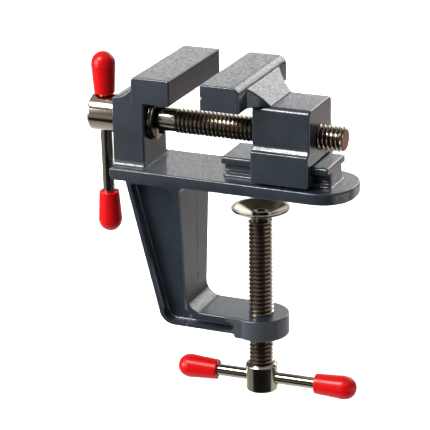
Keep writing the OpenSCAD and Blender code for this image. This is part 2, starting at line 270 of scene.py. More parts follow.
PLANES = {
    "X": (Vector((0, 1, 0)), Vector((0, 0, 1)), Vector((1, 0, 0))),
    "Y": (Vector((1, 0, 0)), Vector((0, 0, 1)), Vector((0, 1, 0))),
    "Z": (Vector((1, 0, 0)), Vector((0, 1, 0)), Vector((0, 0, 1))),
}


# Shapes

def round_corner(bm, vert, radius, steps):
    """Rounds one corner of a flat outline."""
    arms = [(edge.other_vert(vert).co - vert.co).normalized() for edge in vert.link_edges]
    turn = math.pi - arms[0].angle(arms[1])
    bmesh.ops.bevel(bm, geom=[vert], offset=radius * math.tan(turn / 2), offset_type="ABSOLUTE",
                    segments=steps, profile=0.5, affect="VERTICES", material=-1)


def outline(axis, at, corners, steps=6):
    """Flat face from corners given as two places in its plane and a radius."""
    across, up, along = PLANES[axis]
    bm = bmesh.new()
    verts = [bm.verts.new(across * u + up * v + along * at) for u, v, _ in corners]
    bm.faces.new(verts)
    for vert, (_, _, radius) in zip(verts, corners):
        if radius:
            round_corner(bm, vert, radius, steps)
    return bm


def shift_verts(bm, geom, by):
    """Moves the vertices among the items that an operator gave back."""
    verts = [item for item in geom if isinstance(item, bmesh.types.BMVert)]
    bmesh.ops.translate(bm, vec=by, verts=verts)


def prism(axis, start, end, corners, steps=6):
    """Closed bar of one section, drawn out along an axis."""
    bm = outline(axis, start, corners, steps)
    grown = bmesh.ops.extrude_face_region(bm, geom=bm.faces[:])["geom"]
    shift_verts(bm, grown, PLANES[axis][2] * (end - start))
    bmesh.ops.recalc_face_normals(bm, faces=bm.faces)
    return bm


def mirrored(half):
    """The other half of an outline, from its right half."""
    return [(-y, z, radius) for y, z, radius in reversed(half)]


def block(low, high):
    """Closed box between two corners."""
    corners = [(low[0], low[2], 0), (high[0], low[2], 0), (high[0], high[2], 0), (low[0], high[2], 0)]
    return prism("Y", low[1], high[1], corners)


def along_axis(axis, centre):
    """Turns a shape made along Z so that it lies along X or Z through a centre."""
    turn = {"X": Matrix.Rotation(math.pi / 2, 4, "Y"), "Z": Matrix.Identity(4)}[axis]
    return Matrix.Translation(centre) @ turn


def toward(axis, centre):
    """Turns a shape made along Z on to a slanted axis through a centre."""
    turn = Vector((0, 0, 1)).rotation_difference(Vector(axis)).to_matrix().to_4x4()
    return Matrix.Translation(centre) @ turn


def rod(axis, centre, diameter, start, end, steps=64):
    """Closed round bar between two distances along an axis."""
    bm = bmesh.new()
    bmesh.ops.create_cone(bm, cap_ends=True, cap_tris=False, segments=steps, radius1=diameter / 2,
                          radius2=diameter / 2, depth=end - start)
    bmesh.ops.translate(bm, vec=(0, 0, (start + end) / 2), verts=bm.verts)
    bmesh.ops.transform(bm, matrix=along_axis(axis, centre), verts=bm.verts)
    return bm


def main_bore(start, end):
    """Cutter for the main screw's bore between two places along X."""
    return rod("X", (0, 0, screw_axis_z), bore_d, start - 2 * overrun, end + 2 * overrun)


def lathe(section, steps=64, arc=3):
    """Closed turned shape about Z, from a section of (radius, height, rounding)."""
    bm = outline("Y", 0, section, arc)
    edges = [edge for edge in bm.edges if max(abs(v.co.x) for v in edge.verts) > zero]
    bmesh.ops.delete(bm, geom=bm.faces[:], context="FACES_ONLY")
    bmesh.ops.delete(bm, geom=[edge for edge in bm.edges if edge not in edges], context="EDGES")
    verts = [v for v in bm.verts if v.link_edges]
    bmesh.ops.spin(bm, geom=verts + bm.edges[:], cent=(0, 0, 0), axis=(0, 0, 1), dvec=(0, 0, 0),
                   angle=2 * math.pi, steps=steps, use_merge=True, use_normal_flip=False,
                   use_duplicate=False)
    bmesh.ops.remove_doubles(bm, verts=bm.verts, dist=weld)
    bmesh.ops.recalc_face_normals(bm, faces=bm.faces)
    return bm


def mesh_of(bm, name="shape"):
    """A shape as a mesh."""
    mesh = bpy.data.meshes.new(name)
    bm.to_mesh(mesh)
    return mesh


def join(bm, other):
    """Adds another closed shape to a shape, as it is."""
    mesh = mesh_of(other)
    bm.from_mesh(mesh)
    bpy.data.meshes.remove(mesh)
    other.free()
    return bm


def in_order(bm):
    """The same shape with its points and faces in order of place, whatever order a Boolean left them in.

    Two faces on the same points, back to back, enclose nothing and are left out.
    """
    verts = sorted(bm.verts, key=lambda vert: tuple(round(c, 4) for c in vert.co))
    place = {vert: i for i, vert in enumerate(verts)}
    loops, twins = {}, set()
    for face in bm.faces:
        loop = [place[vert] for vert in face.verts]
        first = loop.index(min(loop))
        corners = tuple(sorted(loop))
        if corners in loops:
            twins.add(corners)
        loops[corners] = loop[first:] + loop[:first]
    sorted_bm = bmesh.new()
    made = [sorted_bm.verts.new(vert.co) for vert in verts]
    for loop in sorted(loops[corners] for corners in loops if corners not in twins):
        sorted_bm.faces.new([made[i] for i in loop])
    bm.free()
    return sorted_bm


def combine(operation, base, *tools, cuts=()):
    """Joins tools to a closed shape, or cuts them from it, then makes any further cuts."""
    scene = bpy.context.scene.collection
    body = bpy.data.objects.new("shape", mesh_of(base))
    scene.objects.link(body)
    others = [bpy.data.objects.new("tool", mesh_of(tool)) for tool in (*tools, *cuts)]
    for i, other in enumerate(others):
        scene.objects.link(other)
        cut = body.modifiers.new("cut", "BOOLEAN")
        cut.operation = operation if i < len(tools) else "DIFFERENCE"
        cut.solver = "EXACT"
        cut.object = other
    view = bpy.context.evaluated_depsgraph_get()
    result = bpy.data.meshes.new_from_object(body.evaluated_get(view))
    bm = bmesh.new()
    bm.from_mesh(result)
    for old in [body, *others]:
        mesh = old.data
        bpy.data.objects.remove(old)
        bpy.data.meshes.remove(mesh)
    bpy.data.meshes.remove(result)
    bm = in_order(bm)
    bmesh.ops.remove_doubles(bm, verts=bm.verts, dist=weld)
    bmesh.ops.dissolve_limit(bm, angle_limit=math.radians(flat_turn), verts=bm.verts, edges=bm.edges)
    return bm


def bevel(bm, edges, radius, steps, clamp):
    """Rounds edges to a radius, or as far as there is room where they are clamped."""
    bmesh.ops.bevel(bm, geom=edges, offset=radius, offset_type="OFFSET", segments=steps, profile=0.5,
                    affect="EDGES", material=-1, clamp_overlap=clamp, loop_slide=True)


def round_edges(bm, radius, steps=cast_steps, least=cast_least_turn, where=None):
    """Rounds the edges that turn by more than an angle, and that pass a test where one is given."""
    edges = [edge for edge in bm.edges
             if edge.is_manifold and edge.calc_face_angle() > math.radians(least)
             and (where is None or where(edge))]
    bevel(bm, edges, radius, steps, False)
    bmesh.ops.remove_doubles(bm, verts=bm.verts, dist=weld)


def rounded(bm, radius=cast_r):
    """A shape with all its outer edges rounded."""
    round_edges(bm, radius)
    return bm


def round_chains(bm, radius, side, least=40):
    """Rounds sharp edges chain by chain, each as far as it has room.

    The side is 1 for outer edges and -1 for inner ones.
    """
    sharp = {}
    for edge in bm.edges:
        if edge.is_manifold and side * edge.calc_face_angle_signed() > math.radians(least):
            sharp[edge] = True
    while sharp:
        chain, ends = [], [sharp.popitem()[0]]
        while ends:
            edge = ends.pop()
            chain.append(edge)
            for other in [other for vert in edge.verts for other in vert.link_edges]:
                if other in sharp:
                    del sharp[other]
                    ends.append(other)
        bevel(bm, chain, radius, cast_steps, True)


def tidied(bm):
    """Puts a shape's points in order and clears away slivers that the roundings leave."""
    bm = in_order(bm)
    bmesh.ops.remove_doubles(bm, verts=bm.verts, dist=weld)
    bmesh.ops.dissolve_degenerate(bm, dist=weld, edges=bm.edges)
    return bm


def scale_y(bm, share):
    """Narrows a shape across the jaws by a share that depends on each point's place."""
    for vert in bm.verts:
        vert.co.y *= share(vert.co)


def split(bm, point, normal):
    """Adds an edge loop where a plane crosses the shape."""
    bmesh.ops.bisect_plane(bm, geom=bm.verts[:] + bm.edges[:] + bm.faces[:], plane_co=point,
                           plane_no=normal, dist=plane_near)


def piece(bm, name, node, body, material):
    """Finishes a shape as an object in metres that stands for a CAD node and moves with its body."""
    bmesh.ops.scale(bm, vec=(MM, MM, MM), verts=bm.verts)
    bmesh.ops.recalc_face_normals(bm, faces=bm.faces)
    mesh = mesh_of(bm, name)
    bm.free()
    for polygon in mesh.polygons:
        polygon.use_smooth = True
    mesh.set_sharp_from_angle(angle=math.radians(smooth_turn))
    made = bpy.data.objects.new(name, mesh)
    bpy.context.scene.collection.objects.link(made)
    made.data.materials.append(material)
    normals = made.modifiers.new("even_normals", "WEIGHTED_NORMAL")
    normals.keep_sharp = True
    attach(made, body)
    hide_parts(node)
    return made


# Materials

def linear(colour):
    """Linear colour from an sRGB hex value."""
    parts = [int(colour[i:i + 2], 16) / 255 for i in (1, 3, 5)]
    return [c / 12.92 if c <= 0.04045 else ((c + 0.055) / 1.055) ** 2.4 for c in parts] + [1.0]


def feed(tree, node, inputs):
    """Sets a node's inputs, each to a value or to another node's output."""
    for name, value in inputs.items():
        if isinstance(value, bpy.types.NodeSocket):
            tree.links.new(value, node.inputs[name])
        else:
            node.inputs[name].default_value = value


def add_node(tree, kind, inputs=None, output=0, **settings):
    """Adds a node and gives back one of its outputs."""
    made = tree.nodes.new("ShaderNode" + kind)
    for name, value in settings.items():
        setattr(made, name, value)
    feed(tree, made, inputs or {})
    return made.outputs[output]


def object_place(tree):
    """Each point's place in its piece's own frame, in metres."""
    return add_node(tree, "TexCoord", output="Object")


def parts_of(tree, vector):
    """The X, Y and Z of a vector."""
    return add_node(tree, "SeparateXYZ", {"Vector": vector}).node.outputs


def calc(tree, operation, *terms):
    """One step of arithmetic."""
    return add_node(tree, "Math", dict(enumerate(terms)), operation=operation)


def remap(tree, value, from_low=0, from_high=1, to_low=0, to_high=1, kind="LINEAR"):
    """A value's range carried over to another range."""
    ends = {"From Min": from_low, "From Max": from_high, "To Min": to_low, "To Max": to_high}
    return add_node(tree, "MapRange", {"Value": value, **ends}, interpolation_type=kind)


def noise(tree, grain, detail, roughness=0.5):
    """Noise with grains about so many millimetres across."""
    return add_node(tree, "TexNoise", {"Vector": object_place(tree), "Scale": 1 / (grain * MM),
                                       "Detail": detail, "Roughness": roughness})


def mix(tree, share, under, over):
    """One colour laid over another by a share."""
    return add_node(tree, "MixRGB", {"Fac": share, "Color1": under, "Color2": over})


def ramp(tree, share, low, high, start=0, end=1):
    """Colour that goes from one sRGB hex value to another as a share rises."""
    made = add_node(tree, "ValToRGB", {"Fac": share})
    elements = made.node.color_ramp.elements
    for element, place, colour in ((elements[0], start, low), (elements[1], end, high)):
        element.position = place
        element.color = linear(colour)
    return made


def bumps(tree, height, strength, depth):
    """Normal of a surface whose relief is so many millimetres deep."""
    return add_node(tree, "Bump", {"Height": height, "Strength": strength, "Distance": depth * MM})


def new_material(name, **constants):
    """Material with a Principled shader, its constants set on the shader's own sockets."""
    material = bpy.data.materials.new(name)
    material.use_nodes = True
    tree = material.node_tree
    shader = tree.nodes["Principled BSDF"]
    feed(tree, shader, {key.replace("_", " "): value for key, value in constants.items()})
    return material, tree, shader


# Where the casting's finish changes: places and widths in millimetres, and shares.
under_plate_z = -0.8
throat_near = 0.35
boss_mask_z = throat_z + 1
boss_ground_share = 0.6
upright_share = 0.5
seam_y = 1.2
seam_w = 0.42
seam_grain = 1.6
seam_end_in = 0.6
# Painted shade: faces this near the post's and the fixed jaw's inner faces, above this height, lose gloss.
shade_near = 0.3
shade_low_z = plate_t + 0.3


def ground_faces(tree, sides, lean, below, throat):
    """How far a face was ground after casting: the throat fully, the boss's wall in part."""
    upright = calc(tree, "LESS_THAN", lean, upright_share)
    low = calc(tree, "LESS_THAN", sides["Z"], boss_mask_z * MM)
    round_end = calc(tree, "GREATER_THAN", sides["X"], -boss_d / 2 * MM)
    boss = calc(tree, "MULTIPLY", low, round_end)
    boss_wall = calc(tree, "MULTIPLY", boss, upright)
    patch = calc(tree, "MULTIPLY_ADD", boss_wall, boss_ground_share, throat)
    return calc(tree, "MULTIPLY", below, patch)


def parting_line(tree, sides, below, throat):
    """Broken dark line that the mould's halves leave down the throat and on the boss's end."""
    end = calc(tree, "GREATER_THAN", sides["X"], (boss_d / 2 - seam_end_in) * MM)
    seamed = calc(tree, "MAXIMUM", throat, end)
    wander = noise(tree, seam_grain, 3)
    width = remap(tree, wander, 0.38, 0.62, 0, seam_w * MM)
    line = calc(tree, "COMPARE", sides["Y"], seam_y * MM, width)
    seam = calc(tree, "MULTIPLY", line, seamed)
    return calc(tree, "MULTIPLY", seam, below)


def painted_shade_faces(tree, sides):
    """Inner faces of the post and the fixed jaw, across the jaws from each other, above the plate: painted
    shade, given as less gloss.
    """
    faces = [calc(tree, "COMPARE", sides["X"], face_x * MM, shade_near * MM)
             for face_x in (post_in_x, jaw_face_x)]
    sheltered = calc(tree, "MAXIMUM", *faces)
    above = calc(tree, "GREATER_THAN", sides["Z"], shade_low_z * MM)
    return calc(tree, "MULTIPLY", sheltered, above)


def enamel():
    """Stove enamel sprayed on a die casting: dark slate and glossy, with orange peel.

    It is coarser and paler where the casting was ground, and a dark broken parting line shows through.
    Its gloss is cut back on the inner faces of the post and the fixed jaw, as painted shade.
    """
    material, tree, shader = new_material("stove_enamel", Coat_Weight=1.0, Coat_Roughness=0.16)
    sides = parts_of(tree, object_place(tree))
    lean = parts_of(tree, add_node(tree, "NewGeometry", output="True Normal"))["Z"]
    below = calc(tree, "LESS_THAN", sides["Z"], under_plate_z * MM)
    throat = calc(tree, "COMPARE", sides["X"], throat_x * MM, throat_near * MM)
    ground = ground_faces(tree, sides, lean, below, throat)
    parting = parting_line(tree, sides, below, throat)
    # Painted shade: gloss cut back on the faces between the jaws.
    painted_shade = painted_shade_faces(tree, sides)

    # Colour: faint clouds in the slate.
    cloud = noise(tree, 9, 3)
    slate = ramp(tree, cloud, "#1f262d", "#262d36", 0.3, 0.7)
    coarse = mix(tree, ground, slate, linear("#454a50"))
    colour = mix(tree, parting, coarse, linear("#101214"))

    # Sheen: a clear glossy film, weaker in small specks and on ground faces, with none on the parting line.
    # It is also weaker on the faces between the jaws, as painted shade.
    rough = calc(tree, "MULTIPLY_ADD", ground, 0.25, remap(tree, cloud, to_low=0.24, to_high=0.36))
    shine = calc(tree, "MULTIPLY_ADD", painted_shade, -0.3, 0.5)
    film = calc(tree, "MULTIPLY_ADD", painted_shade, -0.6, 1.0)
    film = calc(tree, "SUBTRACT", film, parting)
    film = calc(tree, "MULTIPLY_ADD", ground, -0.6, film)
    specks = remap(tree, noise(tree, 0.55, 0), 0.4, 0.58, 0.3, 1.05)
    film = calc(tree, "MULTIPLY", film, specks)

    # Relief: orange peel, strongest on level and on ground faces.
    grain = calc(tree, "MULTIPLY_ADD", ground, 0.5, remap(tree, lean, 0.4, 0.8, 0.4, 0.8))
    peel = bumps(tree, noise(tree, 0.5, 3, 0.6), grain, 0.09)
    feed(tree, shader, {"Base Color": colour, "Roughness": rough, "Specular IOR Level": shine,
                        "Coat Weight": film, "Normal": peel})
    return material


# Turning marks run this far apart, in millimetres; real ones are finer and wouldn't show at this distance.
ring_w = 0.12
ring_stretch = 6.0

# How far painted shade reaches above a thread's root, and plain metal below its crest, in millimetres.
root_shade_h = 0.05
crest_plain_h = 0.1


def nickel(name, axis, colour="#aea595"):
    """Nickel plate over turned steel: warm bright metal with fine rings round the axis it was turned on."""
    material, tree, shader = new_material(name, Metallic=1.0, Base_Color=linear(colour))
    fine = 1 / (ring_w * MM)
    stretch = {"X": (fine, ring_stretch, ring_stretch), "Z": (ring_stretch, ring_stretch, fine)}[axis]
    turned = add_node(tree, "Mapping", {"Vector": object_place(tree), "Scale": stretch})
    rings = add_node(tree, "TexNoise", {"Vector": turned, "Scale": 1.0, "Detail": 2.0})
    feed(tree, shader, {"Roughness": remap(tree, rings, to_low=0.08, to_high=0.2),
                        "Normal": bumps(tree, rings, 0.2, 0.01)})
    return material


def threaded_nickel(name, axis, centre, brown_end_at=None):
    """Nickel plate on a thread, darkened towards the roots as painted shade, with a copper-brown end face.
    """
    material, tree, shader = new_material(name, Metallic=1.0)
    place = object_place(tree)
    flat = {"X": (0, 1, 1), "Z": (1, 1, 0)}[axis]
    from_axis = add_node(tree, "VectorMath", {0: place, 1: Vector(centre) * MM}, operation="SUBTRACT")
    across = add_node(tree, "VectorMath", {0: from_axis, 1: flat}, operation="MULTIPLY")
    radius = add_node(tree, "VectorMath", {0: across}, "Value", operation="LENGTH")
    dark_below, plain_above = root_d / 2 + root_shade_h, crest_d / 2 - crest_plain_h
    height = remap(tree, radius, dark_below * MM, plain_above * MM, kind="SMOOTHSTEP")
    # Painted shade: the colour darkens from the crests into the roots.
    colour = ramp(tree, height, "#4d4135", "#b5ac9c")
    if brown_end_at:
        # Copper-brown end face.
        brown_end = calc(tree, "GREATER_THAN", parts_of(tree, place)[axis], (brown_end_at - near) * MM)
        colour = mix(tree, brown_end, colour, linear("#8a5a44"))
    feed(tree, shader, {"Base Color": colour, "Roughness": remap(tree, height, to_low=0.34, to_high=0.16)})
    return material


def spring_steel():
    """Blued spring steel: near black, satin."""
    return new_material("blued_spring_steel", Metallic=1.0, Roughness=0.35, Base_Color=linear("#4a4644"))[0]


def vinyl():
    """Dip-moulded PVC: bright red, smooth and glossy, slightly wavy."""
    material, tree, shader = new_material(
        "dipped_pvc", Base_Color=linear("#c80509"), Roughness=0.28, Specular_IOR_Level=0.3,
        Subsurface_Weight=0.05, Subsurface_Scale=1.2 * MM, Subsurface_Radius=(1.0, 0.25, 0.2))
    feed(tree, shader, {"Normal": bumps(tree, noise(tree, 2.5, 2), 0.4, 0.08)})
    return material


ENAMEL = enamel()
NICKEL_X = nickel("nickel_plate_turned_x", "X")
NICKEL_Z = nickel("nickel_plate_turned_z", "Z")
# Darker copies of the nickel as painted shade: the washer and the inside of the cup.
SHADED_NICKEL_X = nickel("nickel_plate_painted_shade_x", "X", "#857b6b")
SHADED_NICKEL_Z = nickel("nickel_plate_painted_shade_z", "Z", "#8c8270")
THREAD_X = threaded_nickel("nickel_plated_thread_x", "X", (0, 0, screw_axis_z), screw_high.x)
THREAD_Z = threaded_nickel("nickel_plated_thread_z", "Z", (0, 0, 0))
BLUED = spring_steel()
VINYL = vinyl()


# Frame casting

def base_plate():
    """Flat plate with rounded corners at its free end and a rounded lower edge at the post."""
    half = plate_w / 2
    plate = prism("Z", 0, plate_t, [(post_out_x, -half, 0), (frame_high.x, -half, plate_end_r),
                                    (frame_high.x, half, plate_end_r), (post_out_x, half, 0)], 12)

    def at_post_foot(edge):
        return all(v.co.x < post_out_x + near and v.co.z < near for v in edge.verts)

    round_edges(plate, plate_edge_r, 6, 60, at_post_foot)
    return plate


def post():
    """Post and the web that carries the fixed jaw, in one outline."""
    shoulder_z = plate_t + post_h
    bar_back_x = jaw_face_x - bar_t
    web_foot_x = bar_back_x - (web_top_z - shoulder_z)
    return prism("Y", -post_w / 2, post_w / 2, [
        (post_out_x, plate_edge_r, 0),
        (post_in_x, plate_edge_r, 0),
        (post_in_x, bar_low_z, neck_r),
        (jaw_face_x - bar_t / 2, bar_low_z, 0),
        (jaw_face_x - bar_t / 2, web_top_z, 0),
        (bar_back_x, web_top_z, 0),
        (web_foot_x, shoulder_z, shoulder_r),
        (post_out_x, shoulder_z, bar_edge_r),
    ])


def post_foot():
    """Flare that eases the post's front and back into the base plate."""
    half = post_w / 2
    top_z = plate_t + post_flare_r + lap
    end = post_w / 2 + post_flare_r + lap
    return prism("X", post_out_x + cast_r, post_in_x - post_foot_in, [
        (end, plate_t / 2, 0),
        (end, plate_t, 0),
        (half, plate_t, post_flare_r),
        (half, top_z, 0),
        (-half, top_z, 0),
        (-half, plate_t, post_flare_r),
        (-end, plate_t, 0),
        (-end, plate_t / 2, 0),
    ], 8)


def fixed_bar():
    """Fixed jaw."""
    half = frame_high.y
    return prism("Y", -half, half, [
        (jaw_face_x - bar_t, bar_low_z, bar_edge_r),
        (jaw_face_x, bar_low_z, 0),
        (jaw_face_x, bar_top_z, 0),
        (jaw_face_x - bar_t, bar_top_z, bar_edge_r),
    ])


def rail():
    """Undercut rail that the moving jaw slides on."""
    head_z = rail_top_z - rail_head_t
    foot_z = plate_t + rail_foot_h
    head, neck, foot = rail_head_w / 2, rail_neck_w / 2, rail_foot_w / 2
    half = [
        (foot, plate_t / 2, 0),
        (foot, foot_z, 0),
        (neck, foot_z, 0),
        (neck, head_z, 0),
        (head, head_z, rail_edge_r),
        (head, rail_top_z, rail_edge_r),
    ]
    return prism("X", rail_x, rail_x + rail_len, half + mirrored(half), 4)


def spine_half_width(z):
    """Half the width of the spine and arm at a height."""
    top, foot = plate_w / 2, arm_w / 2
    return top + (foot - top) * min(1, max(0, z / throat_z))


def spine():
    """Spine, arm and the root of the boss in one outline, widened towards the base plate."""
    low_z = throat_z - arm_t
    lean = (spine_top_d - spine_foot_d) / -low_z
    out_x = throat_x - spine_top_d
    rise = 2 * cast_r
    shape = prism("Y", -1, 1, [
        (out_x - lean * rise, rise, 0),
        (out_x - lean * low_z, low_z, frame_r),
        (-boss_reach, low_z, boss_low_r),
        (-boss_reach, throat_z - boss_h, boss_root_r),
        (0, throat_z - boss_h, 0),
        (0, throat_z, 0),
        (throat_x, throat_z, frame_r),
        (throat_x, 0, throat_top_r),
        (throat_x + 2 * throat_top_r, 0, 0),
        (throat_x + 2 * throat_top_r, rise, 0),
    ], 8)
    split(shape, (0, 0, 0), (0, 0, 1))
    split(shape, (0, 0, throat_z), (0, 0, 1))
    scale_y(shape, lambda place: spine_half_width(place.z))
    round_edges(shape, cast_r, where=lambda edge: min(vert.co.z for vert in edge.verts) < rise - near)
    return shape


def pocket(side):
    """Cutter for the hollow in one side of the spine and arm, between its flanges."""
    low_z = throat_z - arm_t + arm_low_t
    lean = (spine_top_d - spine_foot_d) / (arm_t - throat_z)
    out_x = throat_x - spine_top_d + flange_out_t * math.hypot(1, lean)
    right_x = throat_x - flange_in_t
    top_z = throat_z - arm_top_t
    shape = prism("Y", 0, side * plate_w, [
        (out_x, pocket_top_z, pocket_out_r),
        (out_x - lean * low_z, low_z, frame_r - flange_out_t),
        (-boss_reach, low_z, pocket_end_r),
        (-boss_reach, top_z, pocket_end_r),
        (right_x, top_z, frame_r + arm_top_t),
        (right_x, pocket_top_z, pocket_top_r),
    ], 8)
    split(shape, (0, 0, throat_z), (0, 0, 1))
    for vert in shape.verts:
        if abs(vert.co.y) < zero:
            vert.co.y = side * (spine_half_width(vert.co.z) - pocket_depth)
    inner = [vert for vert in shape.verts if abs(vert.co.y) < plate_w / 2]
    round_edges(shape, pocket_fillet, 4, 60, lambda edge: all(vert in inner for vert in edge.verts))
    return shape


def frame_casting():
    """Frame: its parts joined, filleted, hollowed and bored."""
    low_z = throat_z - boss_h
    boss = rod("Z", (0, 0, 0), boss_d, low_z, throat_z, 96)
    shape = combine("UNION", rounded(base_plate()), rounded(post()), post_foot(), rounded(fixed_bar()),
                    rounded(rail(), rail_cast_r), spine(), rounded(boss))
    round_chains(shape, frame_fillet, -1)
    shape = combine("DIFFERENCE", shape, pocket(1), pocket(-1))
    round_chains(shape, flange_cast_r, 1, least=60)
    clamp_bore = rod("Z", (0, 0, 0), bore_d, low_z - 2 * overrun, throat_z + 2 * overrun)
    shape = combine("DIFFERENCE", tidied(shape), main_bore(post_out_x, post_in_x), clamp_bore)
    piece(shape, "enamelled_frame", "frame_casting", "frame", ENAMEL)


# Moving jaw casting

def moving_bar():
    """Moving jaw's bar, with the shallow groove along the middle of its face."""
    half = jaw_high.y
    mid_z = (bar_low_z + bar_top_z) / 2
    face_x = jaw_low.x
    return prism("Y", -half, half, [
        (face_x, bar_low_z, 0),
        (moving_back_x, bar_low_z, 0),
        (moving_back_x, bar_top_z, bar_back_r),
        (face_x, bar_top_z, 0),
        (face_x, mid_z + groove, 0),
        (face_x + groove, mid_z, 0),
        (face_x, mid_z - groove, 0),
    ])


def gusset():
    """Sloped web behind the bar, which narrows in a hollow curve towards the body."""
    shape = prism("Y", -1, 1, [
        (moving_back_x - bar_t / 2, bar_low_z, 0),
        (moving_back_x + gusset_len, bar_low_z, 0),
        (moving_back_x, web_top_z, 0),
        (moving_back_x - bar_t / 2, web_top_z, 0),
    ])
    slices = 6
    for step in range(slices):
        split(shape, (moving_back_x + step * gusset_len / slices, 0, 0), (1, 0, 0))
    wide, narrow = gusset_w / 2, gusset_end_w / 2

    def half_width(place):
        run = max(0, place.x - moving_back_x) / gusset_len
        return narrow + (wide - narrow) * (1 - run) ** gusset_curve

    scale_y(shape, half_width)
    return shape


def jaw_body():
    """Body with a sloped ledge above the skirt, hollow underneath to fit round the rail."""
    head_z = rail_top_z - rail_head_t - slide_gap
    head_in = rail_head_w / 2 + slide_gap
    foot_in = rail_foot_w / 2 + 2 * slide_gap
    right = [
        (head_in, rail_top_z + slide_gap, 0),
        (head_in, head_z, 0),
        (foot_in, head_z, 0),
        (foot_in, jaw_low.z, 0),
        (skirt_w / 2, jaw_low.z, skirt_low_r),
        (skirt_w / 2, ledge_low_z, ledge_corner_r),
        (skirt_w / 2 - ledge_mid_in, ledge_mid_z, ledge_corner_r),
        (body_w / 2, ledge_high_z, ledge_fillet),
        (body_w / 2, bar_low_z, body_top_r),
    ]
    return prism("X", moving_back_x, jaw_high.x, right + mirrored(right), 5)


def moving_jaw():
    """Moving jaw: its parts joined, bored and filleted."""
    shape = combine("UNION", rounded(moving_bar()), rounded(gusset(), gusset_cast_r), rounded(jaw_body()),
                    cuts=[main_bore(moving_back_x, jaw_high.x)])
    round_chains(shape, jaw_fillet, -1)
    piece(tidied(shape), "enamelled_moving_jaw", "moving_jaw", "jaw", ENAMEL)


# Turned pieces: sections are drawn as radius and distance along the axis.

def to_main(bm):
    """Turns a shape made about Z on to the main screw's axis."""
    bmesh.ops.transform(bm, matrix=along_axis("X", (0, 0, screw_axis_z)), verts=bm.verts)
    return bm


# One turn of the thread: shares of the pitch, with shares of the thread's depth.
ridge_shares = [(-0.14, 0), (0.14, 0), (0.20, 0.1), (0.40, 0.9), (0.45, 1), (0.55, 1), (0.60, 0.9),
                (0.80, 0.1), (0.86, 0)]


def thread(start, end, chamfer_start=0, chamfer_end=0):
    """Right-hand thread about Z, cut square at both ends."""
    root, crest = root_d / 2, crest_d / 2
    turns = math.ceil((end - start) / pitch) + 3
    made = 1
    bm = bmesh.new()
    verts = [bm.verts.new((root + (crest - root) * rise, 0, start + (share - 2) * pitch))
             for share, rise in ridge_shares]
    edges = [bm.edges.new(pair) for pair in zip(verts, verts[1:])]
    bmesh.ops.spin(bm, geom=verts + edges, cent=(0, 0, 0), axis=(0, 0, 1),
                   dvec=(0, 0, pitch / thread_steps), angle=2 * math.pi, steps=thread_steps,
                   use_merge=False, use_normal_flip=False, use_duplicate=False)
    while made < turns:
        copied = bmesh.ops.duplicate(bm, geom=bm.verts[:] + bm.edges[:] + bm.faces[:])["geom"]
        shift_verts(bm, copied, (0, 0, made * pitch))
        made *= 2
    bmesh.ops.remove_doubles(bm, verts=bm.verts, dist=thread_weld)
    for height, side in ((start, 1), (end, -1)):
        bmesh.ops.bisect_plane(bm, geom=bm.verts[:] + bm.edges[:] + bm.faces[:], plane_co=(0, 0, height),
                               plane_no=(0, 0, side), dist=weld, clear_inner=True)
    for vert in bm.verts:
        radius = math.hypot(vert.co.x, vert.co.y)
        limit = crest
        if chamfer_start:
            limit = min(limit, crest - chamfer_start + vert.co.z - start)
        if chamfer_end:
            limit = min(limit, crest - chamfer_end + end - vert.co.z)
        if radius > limit:
            vert.co.x *= limit / radius
            vert.co.y *= limit / radius
    bmesh.ops.holes_fill(bm, edges=[edge for edge in bm.edges if edge.is_boundary], sides=0)
    return bm


def main_screw():
    """Main screw: plain journal, groove for the clip, shank and thread."""
    plain, shank = crest_d / 2, shank_d / 2
    groove_low, groove_high = clip_low.x - clip_play, clip_high.x + clip_play
    shank_end = shank_end_x + thread_lap
    body = lathe([
        (0, screw_low.x, 0),
        (plain, screw_low.x, screw_end_r),
        (plain, groove_low, edge_r),
        (clip_groove_r, groove_low, 0),
        (clip_groove_r, groove_high, 0),
        (shank, groove_high, edge_r),
        (shank, shank_end, 0),
        (0, shank_end, 0),
    ])
    ridge = thread(shank_end_x, screw_high.x, main_start_chamfer, main_end_chamfer)
    piece(to_main(join(body, ridge)), "main_screw_threaded", "main_screw", "main_screw",
          THREAD_X)


main_handle = toward(JOINTS["main_handle_slide"]["axis"], (head_low.x + main_hole_in, 0, screw_axis_z))
clamp_handle = toward(JOINTS["clamp_handle_slide"]["axis"], (0, 0, clamp_head_low.z + clamp_hole_up))


def cross_hole(head, place):
    """Drills the hole for a handle bar through a head and breaks its rims."""
    hole_d = bar_d + bar_play
    hole = rod("Z", (0, 0, 0), hole_d, -cut_reach, cut_reach, 48)
    bmesh.ops.transform(hole, matrix=place, verts=hole.verts)
    head = combine("DIFFERENCE", head, hole)
    to_bar = place.inverted()

    def on_rim(edge):
        return all(abs(math.hypot(*(to_bar @ v.co).xy) - hole_d / 2) < near for v in edge.verts)

    round_edges(head, hole_edge_r, 2, 30, on_rim)
    return head


def main_screw_head():
    """Drum at the main screw's outer end."""
    radius = (head_high.z - head_low.z) / 2
    head = to_main(lathe([
        (0, head_low.x, 0),
        (radius, head_low.x, head_out_r),
        (radius, head_high.x, head_in_r),
        (0, head_high.x, 0),
    ], 96, 4))
    piece(cross_hole(head, main_handle), "main_screw_drum", "main_screw_head", "main_screw",
          NICKEL_X)


def retaining_washer():
    """Washer on the post's inner face."""
    inside, radius = bore_d / 2, (washer_high.z - washer_low.z) / 2
    ring = lathe([
        (inside, washer_low.x, edge_r),
        (radius, washer_low.x, edge_r),
        (radius, washer_high.x, washer_edge_r),
        (inside, washer_high.x, edge_r),
    ], 96)
    piece(to_main(ring), "steel_washer", "retaining_washer", "main_screw", SHADED_NICKEL_X)


